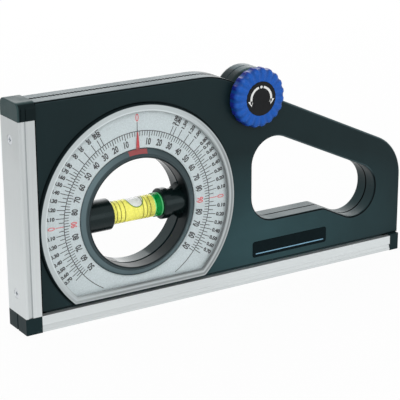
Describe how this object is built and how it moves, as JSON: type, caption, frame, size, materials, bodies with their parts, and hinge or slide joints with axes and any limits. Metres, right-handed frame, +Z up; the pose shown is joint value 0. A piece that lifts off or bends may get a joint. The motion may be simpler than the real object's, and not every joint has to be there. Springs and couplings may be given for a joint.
{
  "type": "inclinometer",
  "caption": "Slope level: a bubble vial in a turning drum behind a fixed angle scale, driven by a blue knob, in a black body with a carrying slot and aluminium rails.",
  "frame": {"origin": "centre of the base face, the underside of the base rail and its caps", "axes": "X along the base, positive towards the body's low end; Y from the scale face (front) to the back; Z up"},
  "size_m": [0.2005, 0.0215, 0.1009],
  "materials": {
    "rail": "drawn aluminium, lightly brushed along its length",
    "cap": "fine-grained black plastic",
    "shell": "satin black plastic",
    "badge": "smooth bare plate",
    "scale": "satin silver plate with a printed scale",
    "clear_cover": "clear moulded plastic",
    "drum": "dark grey plastic",
    "pointer_red": "red paint",
    "gear": "black moulded gears",
    "steel": "zinc-plated steel",
    "holder": "black plastic",
    "vial_clear": "clear acrylic",
    "plug": "green plug",
    "liquid": "yellow-green liquid",
    "knob_blue": "blue plastic",
    "disc_black": "black disc with white arrows",
    "bush": "turned brass",
    "friction": "soft rubber"
  },
  "bodies": {
    "frame": {"side_rail": "rail", "base_rail": "rail", "top_end_cap": "cap", "corner_cap": "cap", "base_end_cap": "cap", "front_housing": "shell", "rear_housing": "shell", "badge_plate": "badge", "scale_plate": "scale", "scale_cover": "clear_cover", "idler_pin": "steel", "shaft_bush": "bush", "friction_ring": "friction", "side_rail_screws": "steel", "base_rail_screws": "steel", "body_screws": "steel"},
    "dial": {"dial_bezel": "drum", "dial_rear_ring": "drum", "pointer": "pointer_red", "dial_gear": "gear", "vial_holder_left": "holder", "vial_holder_right": "holder", "vial_tube": "vial_clear", "vial_plug": "plug", "vial_liquid": "liquid"},
    "idler": {"idler_gear": "gear"},
    "knob": {"drive_knob": "knob_blue", "knob_disc": "disc_black", "knob_shaft": "steel", "drive_pinion": "gear", "knob_screw": "steel"}
  },
  "joints": [
    {"name": "dial_turn", "type": "hinge", "parent": "frame", "child": "dial", "pos_m": [-0.0439, 0, 0.0441], "axis": [0, -1, 0], "range_deg": [-140, 140]},
    {"name": "idler_turn", "type": "hinge", "parent": "frame", "child": "idler", "pos_m": [-0.00654, 0, 0.07733], "axis": [0, -1, 0], "range_deg": [-298, 298]},
    {"name": "knob_turn", "type": "hinge", "parent": "frame", "child": "knob", "pos_m": [0.0152, 0, 0.0875], "axis": [0, -1, 0], "range_deg": [-596, 596]}
  ],
  "couplings": [
    {"joint": "idler_turn", "follows": "dial_turn", "ratio": -2.125},
    {"joint": "knob_turn", "follows": "dial_turn", "ratio": 4.25}
  ]
}
